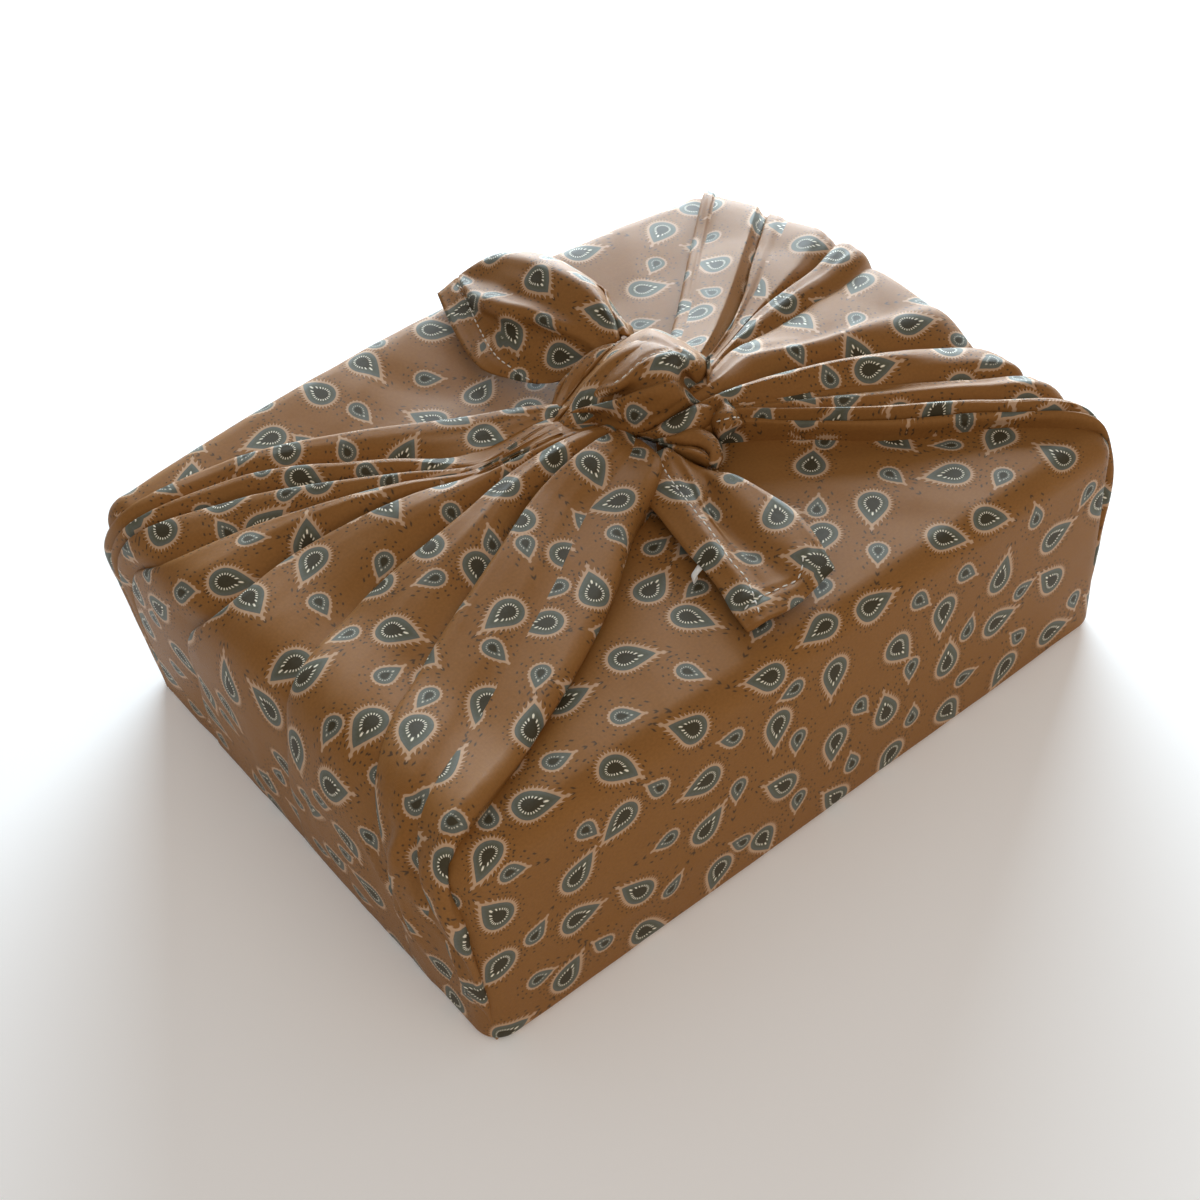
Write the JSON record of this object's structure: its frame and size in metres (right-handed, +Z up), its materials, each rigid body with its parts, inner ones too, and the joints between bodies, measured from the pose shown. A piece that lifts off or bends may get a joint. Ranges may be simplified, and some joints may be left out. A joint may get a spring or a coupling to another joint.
{
  "type": "furoshiki wrap",
  "caption": "Square printed cotton cloth folded round a flat box and tied on top in a square knot with hemmed corner tails.",
  "frame": {"origin": "centre of the underside, on the surface that the wrap stands on", "axes": "+X along the long side, towards the end whose fan lies over the front corner; +Y to the back; +Z up"},
  "size_m": [0.3069, 0.2379, 0.1314],
  "materials": {
    "printed_cotton": "plain-weave brown cotton, printed with small paisley drops, matte",
    "stitch_thread": "off-white sewing thread, running stitch along the hems",
    "label_tape": "plain white woven tape, blank"
  },
  "bodies": {
    "root": {"wrap_cloth": "printed_cotton", "hem_label": "label_tape"}
  },
  "joints": []
}
